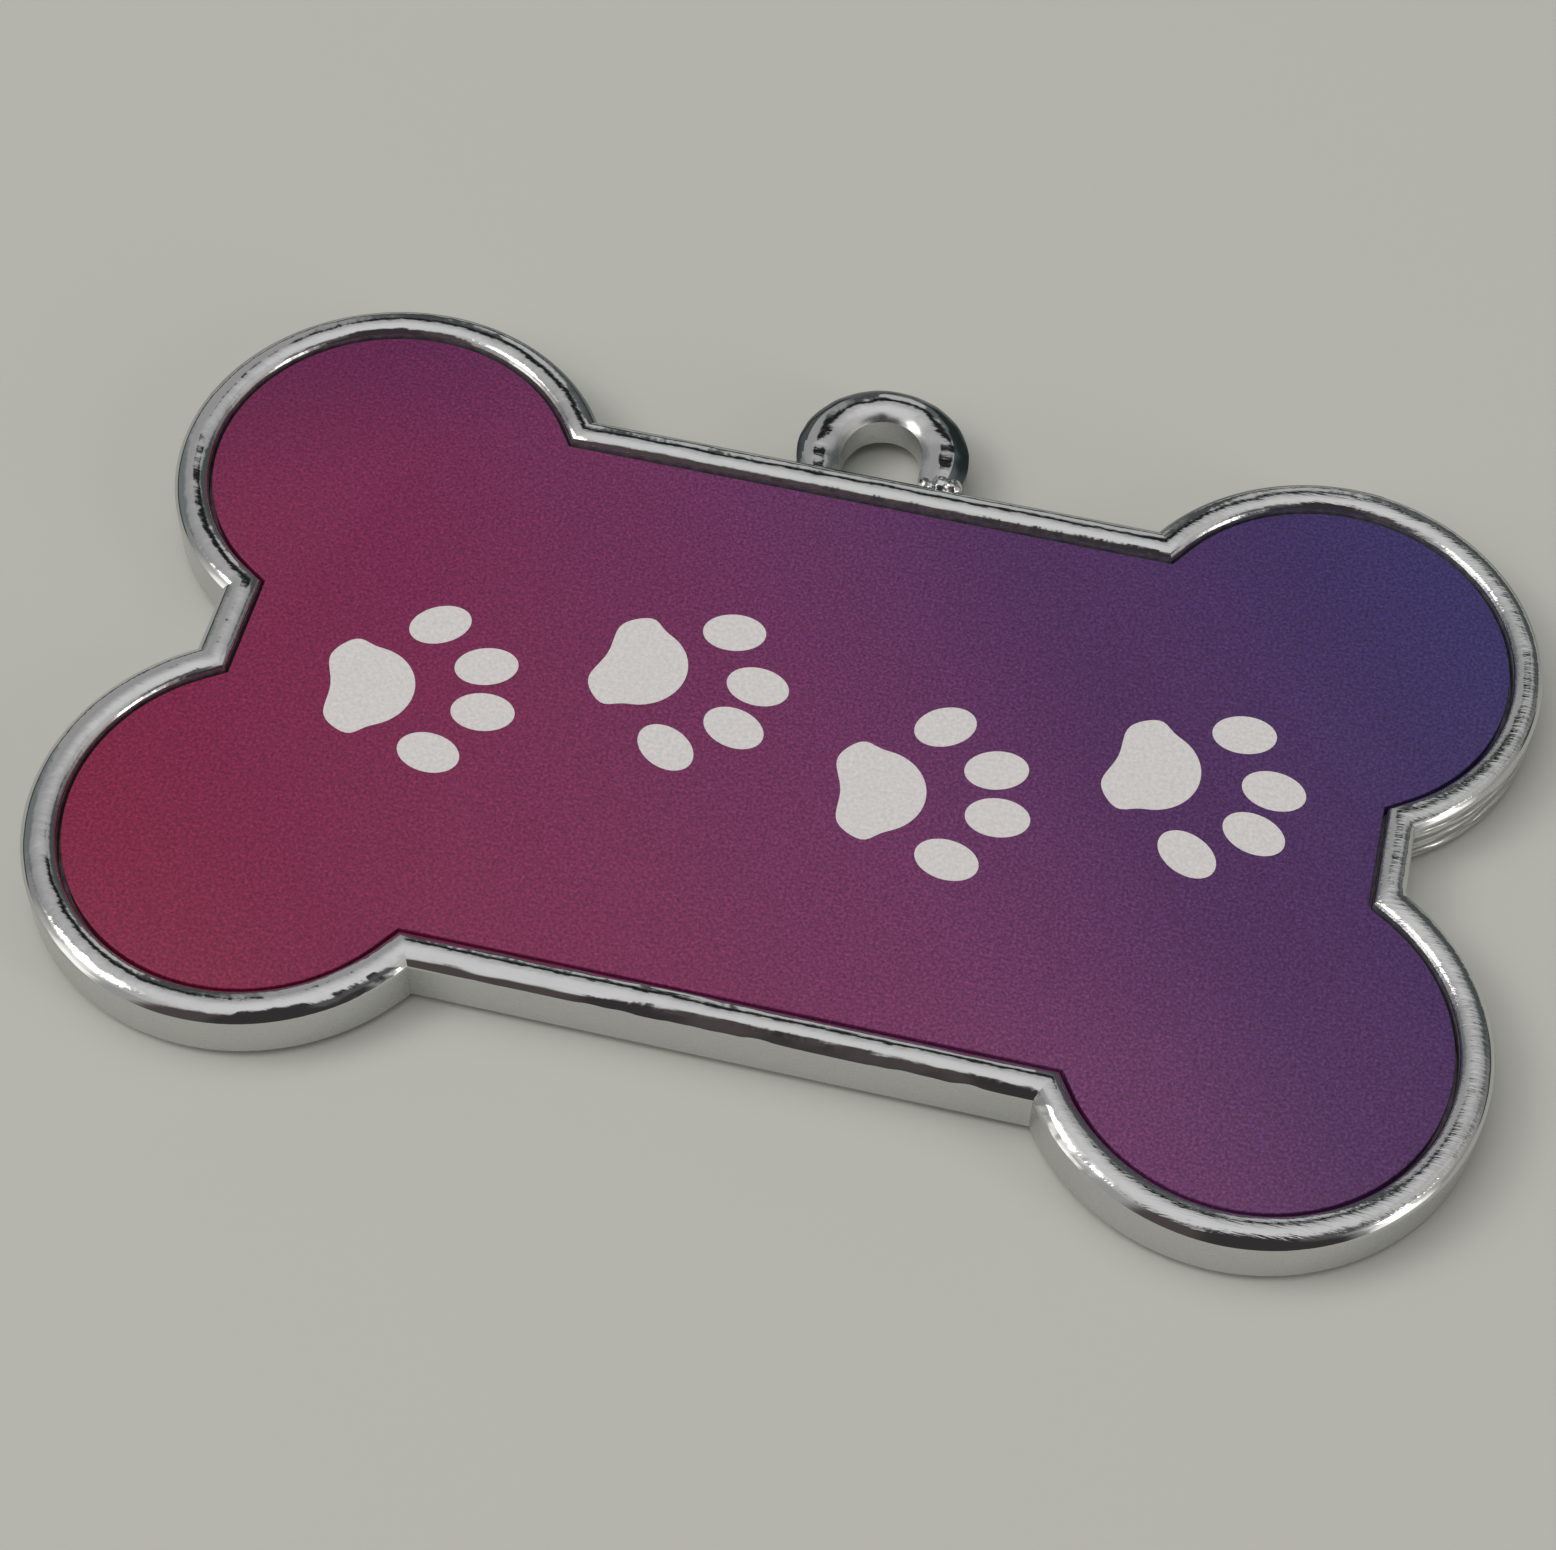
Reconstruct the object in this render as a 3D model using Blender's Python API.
"""Bone-shaped pet tag, real size, in metres, +Z up.

A die-cast frame carries a shallow pocket in each face and a hanging loop on one
long edge. A thin printed metal plate is glued into each pocket on an adhesive pad.
The tag lies on its rear face: z = 0 is the rear face of the frame's rim.
"""

import math

import bmesh
import bpy

MM = 0.001

# The bone's outline, measured at the outer edge of the frame
TAG_LENGTH = 50.0 * MM
TAG_WIDTH = 31.6 * MM
LOBE_RADIUS = 7.85 * MM
WAIST_WIDTH = 24.2 * MM
END_SPAN = 42.8 * MM

# The frame's rim: a narrow flat crest that falls in a quarter oval to either side
RIM_WIDTH = 1.20 * MM
OUTER_ROUND = 0.57 * MM
OUTER_DROP = 0.44 * MM
INNER_ROUND = 0.43 * MM
INNER_DROP = 0.26 * MM

# What lies in each pocket, from the rim's face down to the web
PLATE_RECESS = 0.30 * MM
PLATE_THICKNESS = 0.45 * MM
ADHESIVE_THICKNESS = 0.10 * MM
WEB_THICKNESS = 0.62 * MM

# Clearances between the layers and round their edges
LAYER_GAP = 0.02 * MM
PLATE_SIDE_GAP = 0.12 * MM
ADHESIVE_MARGIN = 0.40 * MM
PLATE_EDGE_ROUND = 0.05 * MM

# The hanging loop on the long edge at +Y, widest half way up
LOOP_WIDTH = 6.4 * MM
LOOP_FOOT_WIDTH = 5.9 * MM
LOOP_RISE = 4.45 * MM
LOOP_THICKNESS = 1.8 * MM
LOOP_SQUARENESS = 0.6
EYE_WIDTH = 3.1 * MM
EYE_HEIGHT = 3.05 * MM
LOOP_ROOT_SHARE = 0.5

# How finely round stretches are drawn
LOBE_STEPS = 28
OUTER_ROUND_STEPS = 5
INNER_ROUND_STEPS = 4
LOOP_STEPS = 20
LOOP_SECTION_STEPS = 16
SHARP_ANGLE = math.radians(35.0)

# Sizes and places that follow from the values above
POCKET_DEPTH = PLATE_RECESS + PLATE_THICKNESS + ADHESIVE_THICKNESS + 2.0 * LAYER_GAP
FRAME_THICKNESS = WEB_THICKNESS + 2.0 * POCKET_DEPTH
PLATE_INSET = RIM_WIDTH + PLATE_SIDE_GAP
ADHESIVE_INSET = PLATE_INSET + ADHESIVE_MARGIN
LOOP_TOP = WAIST_WIDTH / 2.0 + LOOP_RISE
EYE_TOP = WAIST_WIDTH / 2.0 + EYE_HEIGHT
LOOP_ROOT_Y = WAIST_WIDTH / 2.0 - LOOP_ROOT_SHARE * RIM_WIDTH
BONE_CENTRE_Y = (TAG_WIDTH / 2.0 - max(LOOP_TOP, TAG_WIDTH / 2.0)) / 2.0


def clear_scene():
    for item in list(bpy.data.objects):
        bpy.data.objects.remove(item, do_unlink=True)


def make_material(name, colour, roughness, metallic):
    material = bpy.data.materials.new(name)
    material.use_nodes = True
    shader = material.node_tree.nodes["Principled BSDF"]
    shader.inputs["Base Color"].default_value = (*colour, 1.0)
    shader.inputs["Roughness"].default_value = roughness
    shader.inputs["Metallic"].default_value = metallic
    material.diffuse_color = (*colour, 1.0)
    return material


def bone_outline(inset):
    """Points of the bone, counter-clockwise, drawn this far inside the outer edge.

    The bone is four round lobes joined to a rectangle. One lobe's arc runs from
    the short end edge to the long edge, and the other three are its mirror images.
    """
    centre_x = TAG_LENGTH / 2.0 - LOBE_RADIUS
    centre_y = TAG_WIDTH / 2.0 - LOBE_RADIUS
    radius = LOBE_RADIUS - inset
    end_reach = (END_SPAN / 2.0 - inset - centre_x) / radius
    waist_reach = (WAIST_WIDTH / 2.0 - inset - centre_y) / radius
    first = -min(math.acos(end_reach), math.asin(min(centre_y / radius, 1.0)))
    last = math.pi - math.asin(waist_reach)
    arc = []
    for step in range(LOBE_STEPS + 1):
        angle = first + (last - first) * step / LOBE_STEPS
        arc.append((centre_x + radius * math.cos(angle), centre_y + radius * math.sin(angle)))
    points = list(arc)
    points += [(-x, y) for x, y in reversed(arc)]
    points += [(-x, -y) for x, y in arc]
    points += [(x, -y) for x, y in reversed(arc)]
    return [(x, y + BONE_CENTRE_Y) for x, y in points]


def add_ring(mesh, points, z):
    """One ring of corners at this height."""
    return [mesh.verts.new((x, y, z)) for x, y in points]


def loft(mesh, rings):
    """Skins each ring to the next, corner to corner, and closes the first and the last."""
    for ring, following in zip(rings, rings[1:]):
        for i in range(len(ring)):
            mesh.faces.new((ring[i], ring[i - 1], following[i - 1], following[i]))
    mesh.faces.new(rings[0])
    mesh.faces.new(reversed(rings[-1]))
    bmesh.ops.recalc_face_normals(mesh, faces=mesh.faces)


def finish_object(name, mesh, material):
    """Makes the object from its edited mesh, with round stretches shaded smooth."""
    data = bpy.data.meshes.new(name)
    mesh.to_mesh(data)
    mesh.free()
    data.shade_smooth()
    data.set_sharp_from_angle(angle=SHARP_ANGLE)
    data.materials.append(material)
    item = bpy.data.objects.new(name, data)
    bpy.context.scene.collection.objects.link(item)
    return item


def quarter_turn(steps):
    """Angles from 0 to a right angle."""
    return [math.pi / 2.0 * step / steps for step in range(steps + 1)]


def rim_sections():
    """Inset and depth of each ring, from the pocket's floor over the rim to the side wall."""
    sections = [(RIM_WIDTH, POCKET_DEPTH)]
    for angle in reversed(quarter_turn(INNER_ROUND_STEPS)):
        inset = RIM_WIDTH - INNER_ROUND * (1.0 - math.sin(angle))
        sections.append((inset, INNER_DROP * (1.0 - math.cos(angle))))
    for angle in quarter_turn(OUTER_ROUND_STEPS):
        inset = OUTER_ROUND * (1.0 - math.sin(angle))
        sections.append((inset, OUTER_DROP * (1.0 - math.cos(angle))))
    return sections


def make_frame_body(material):
    """The rim and the web between its two pockets, as one lofted solid."""
    mesh = bmesh.new()
    rings = []
    for inset, depth in rim_sections():
        rings.append(add_ring(mesh, bone_outline(inset), FRAME_THICKNESS - depth))
    for inset, depth in reversed(rim_sections()):
        rings.append(add_ring(mesh, bone_outline(inset), depth))
    loft(mesh, rings)
    return finish_object("tag_frame", mesh, material)


def arch_points(half_width, foot_half_width, top):
    """Points of an upside-down U: a leg, a half circle and the other leg."""
    centre = top - half_width
    points = [(foot_half_width, LOOP_ROOT_Y)]
    for step in range(LOOP_STEPS + 1):
        angle = math.pi * step / LOOP_STEPS
        points.append((half_width * math.cos(angle), centre + half_width * math.sin(angle)))
    points.append((-foot_half_width, LOOP_ROOT_Y))
    return points


def squared(value):
    """Pushes a sine or cosine outwards, which turns an oval section a little square."""
    return math.copysign(abs(value) ** LOOP_SQUARENESS, value)


def make_loop(material):
    """The hanging loop: a squared oval section, thinner at the crown, swept round the eye."""
    mesh = bmesh.new()
    inner_line = arch_points(EYE_WIDTH / 2.0, EYE_WIDTH / 2.0, EYE_TOP)
    outer_line = arch_points(LOOP_WIDTH / 2.0, LOOP_FOOT_WIDTH / 2.0, LOOP_TOP)
    rings = []
    for inner, outer in zip(inner_line, outer_line):
        ring = []
        for step in range(LOOP_SECTION_STEPS):
            angle = 2.0 * math.pi * step / LOOP_SECTION_STEPS
            share = (1.0 - squared(math.cos(angle))) / 2.0
            x = inner[0] + (outer[0] - inner[0]) * share
            y = inner[1] + (outer[1] - inner[1]) * share + BONE_CENTRE_Y
            z = FRAME_THICKNESS / 2.0 + LOOP_THICKNESS / 2.0 * squared(math.sin(angle))
            ring.append(mesh.verts.new((x, y, z)))
        rings.append(ring)
    loft(mesh, rings)
    loop = finish_object("loop_guide", mesh, material)
    loop.hide_render = True
    loop.display_type = "WIRE"
    return loop


def make_frame():
    """Rim, web and loop are one casting, plated bright."""
    material = make_material("chrome_plating", (0.62, 0.63, 0.63), 0.08, 1.0)
    frame = make_frame_body(material)
    union = frame.modifiers.new("cast_in_loop", "BOOLEAN")
    union.operation = "UNION"
    union.solver = "EXACT"
    union.object = make_loop(material)
    return frame


def make_layer(name, inset, low, high, edge_round, material):
    """A flat bone-shaped layer between two heights, with lightly rounded edges."""
    mesh = bmesh.new()
    rings = [add_ring(mesh, bone_outline(inset + edge_round), low)]
    if edge_round > 0.0:
        rings.append(add_ring(mesh, bone_outline(inset), low + edge_round))
        rings.append(add_ring(mesh, bone_outline(inset), high - edge_round))
    rings.append(add_ring(mesh, bone_outline(inset + edge_round), high))
    loft(mesh, rings)
    return finish_object(name, mesh, material)


def make_side(side, place):
    """One face's plate and the pad that glues it down. place turns a depth into a height."""
    plate_colour = (0.16, 0.045, 0.11) if side == "front" else (0.10, 0.045, 0.12)
    plate_material = make_material(side + "_print", plate_colour, 0.45, 0.3)
    pad_material = make_material(side + "_adhesive", (0.55, 0.53, 0.48), 0.6, 0.0)
    plate_depths = (PLATE_RECESS, PLATE_RECESS + PLATE_THICKNESS)
    pad_depths = (plate_depths[1] + LAYER_GAP, plate_depths[1] + LAYER_GAP + ADHESIVE_THICKNESS)
    low, high = sorted(place(depth) for depth in plate_depths)
    make_layer(side + "_plate", PLATE_INSET, low, high, PLATE_EDGE_ROUND, plate_material)
    low, high = sorted(place(depth) for depth in pad_depths)
    make_layer(side + "_adhesive_pad", ADHESIVE_INSET, low, high, 0.0, pad_material)


clear_scene()
make_frame()
make_side("front", lambda depth: FRAME_THICKNESS - depth)
make_side("rear", lambda depth: depth)
